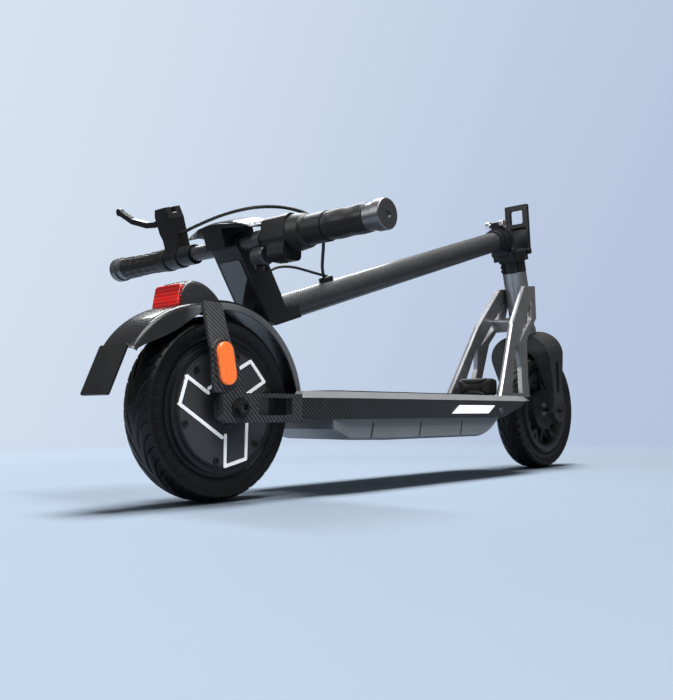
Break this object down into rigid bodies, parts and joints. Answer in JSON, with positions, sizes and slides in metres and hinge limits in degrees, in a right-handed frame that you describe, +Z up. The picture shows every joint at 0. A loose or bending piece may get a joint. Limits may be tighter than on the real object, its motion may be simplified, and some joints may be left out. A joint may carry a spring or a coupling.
{
  "type": "electric kick scooter",
  "caption": "Folding electric kick scooter, stem folded over the deck: hub-motor rear wheel, open front wheel, slotted fork, lattice struts, twist throttle, hand brake, rear fender with light.",
  "frame": {"origin": "on the ground, under the middle of the scooter's own box as it stands folded", "axes": "+X forward along the deck, +Y to the rider's left, +Z up"},
  "size_m": [1.2225, 0.572, 0.572],
  "materials": {
    "tyre": "ribbed rubber",
    "wheel_grey": "satin paint",
    "cover_grey": "satin",
    "trim_silver": "bright satin",
    "steel": "zinc plated",
    "black_steel": "black oxide",
    "chrome": "polished",
    "gunmetal": "metallic satin paint",
    "carbon": "twill weave under clear coat",
    "deck_shell": "twill film and satin bevel",
    "graphite": "satin paint",
    "pan_grey": "satin",
    "mat_rubber": "grooved",
    "cable_black": "smooth",
    "fender_black": "satin",
    "red_lens": "clear red, prismatic",
    "amber": "clear amber, prismatic",
    "white_reflector": "prismatic",
    "lamp_lens": "clear over grey",
    "display_dark": "dark glass",
    "cell_blue": "sleeved",
    "bar_end": "turned, with a satin ring"
  },
  "bodies": {
    "frame": {"head_tube": "gunmetal", "headset_bearings": "steel", "front_struts": "gunmetal", "deck_body": "deck_shell", "grip_mat": "mat_rubber", "battery_cover": "pan_grey", "battery_pack": "cell_blue", "motor_controller": "cell_blue", "side_reflectors": "white_reflector", "charge_port": "bar_end", "front_pad": "mat_rubber", "dropouts": "carbon", "rear_axle": "steel", "rear_axle_nuts": "black_steel", "rear_fender": "fender_black", "fender_straps": "carbon", "amber_reflectors": "amber", "tail_light_housing": "fender_black", "tail_light_lens": "red_lens", "plate_holder": "fender_black", "kickstand_bracket": "black_steel"},
    "rear_wheel": {"rear_tyre": "tyre", "rear_rim": "wheel_grey", "rear_bearings": "steel", "wheel_covers": "cover_grey", "cover_trims": "trim_silver", "cover_screws": "black_steel"},
    "fork": {"fork": "carbon", "hinge_base": "graphite", "hinge_bolts": "black_steel", "front_axle": "black_steel", "brake_plate": "graphite", "front_light": "white_reflector"},
    "front_wheel": {"front_tyre": "tyre", "front_rim": "wheel_grey", "front_bearings": "steel"},
    "brake_arm": {"brake_arm": "black_steel"},
    "latch": {"latch_lever": "graphite"},
    "stem": {"stem_flange": "carbon", "striker": "chrome", "stem_tube": "carbon", "neck": "graphite", "display_glass": "display_dark", "handlebar": "carbon", "right_grip": "mat_rubber", "left_grip": "mat_rubber", "bar_end_caps": "bar_end", "throttle_housing": "fender_black", "bell": "graphite", "brake_perch": "graphite", "headlamp_shell": "fender_black", "headlamp_lens": "lamp_lens", "cable_grommet": "mat_rubber", "brake_cable": "cable_black", "display_lead": "cable_black"},
    "throttle": {"throttle_sleeve": "mat_rubber"},
    "brake_lever": {"brake_lever": "graphite"},
    "horn": {"horn_button": "fender_black"},
    "bell_striker": {"bell_striker": "fender_black"},
    "kickstand": {"kickstand": "graphite"}
  },
  "joints": [
    {"name": "rear_wheel_spin", "type": "hinge", "parent": "frame", "child": "rear_wheel", "pos_m": [-0.42975, 0, 0.127], "axis": [0, 1, 0], "continuous": true},
    {"name": "steering", "type": "hinge", "parent": "frame", "child": "fork", "pos_m": [0.48425, 0, 0.127], "axis": [-0.2588, 0, 0.9659], "range_deg": [-35, 35]},
    {"name": "front_wheel_spin", "type": "hinge", "parent": "fork", "child": "front_wheel", "pos_m": [0.48425, 0, 0.127], "axis": [0, 1, 0], "continuous": true},
    {"name": "stem_fold", "type": "hinge", "parent": "fork", "child": "stem", "pos_m": [0.36443, 0, 0.45827], "axis": [0, 1, 0], "range_deg": [0, 92.8]},
    {"name": "latch_swing", "type": "hinge", "parent": "fork", "child": "latch", "pos_m": [0.42754, 0, 0.47001], "axis": [0, 1, 0], "range_deg": [0, 80]},
    {"name": "brake_lever_pull", "type": "hinge", "parent": "stem", "child": "brake_lever", "pos_m": [-0.41499, 0.128, 0.42492], "axis": [-0.9521, 0, -0.3057], "range_deg": [0, 22], "stiffness_Nm_per_rad": 0.6, "springref_deg": -8.59},
    {"name": "brake_arm_pull", "type": "hinge", "parent": "fork", "child": "brake_arm", "pos_m": [0.45796, 0.031, 0.13238], "axis": [0, 1, 0], "range_deg": [0, 14]},
    {"name": "throttle_twist", "type": "hinge", "parent": "stem", "child": "throttle", "pos_m": [-0.39359, -0.16, 0.35827], "axis": [0, 1, 0], "range_deg": [0, 60], "stiffness_Nm_per_rad": 0.3, "springref_deg": -5.73},
    {"name": "horn_press", "type": "slide", "parent": "stem", "child": "horn", "axis": [0, 0, 1], "range_m": [0, 0.0015], "stiffness_N_per_m": 400, "springref_m": -0.001},
    {"name": "bell_flick", "type": "hinge", "parent": "stem", "child": "bell_striker", "pos_m": [-0.39759, -0.061, 0.31907], "axis": [1, 0, 0], "range_deg": [0, 15], "stiffness_Nm_per_rad": 0.01, "springref_deg": -5.73},
    {"name": "kickstand_swing", "type": "hinge", "parent": "frame", "child": "kickstand", "pos_m": [-0.27975, 0.084, 0.1], "axis": [0, -0.8638, -0.5039], "range_deg": [0, 100]}
  ],
  "couplings": [
    {"joint": "brake_arm_pull", "follows": "brake_lever_pull", "ratio": 0.6}
  ]
}
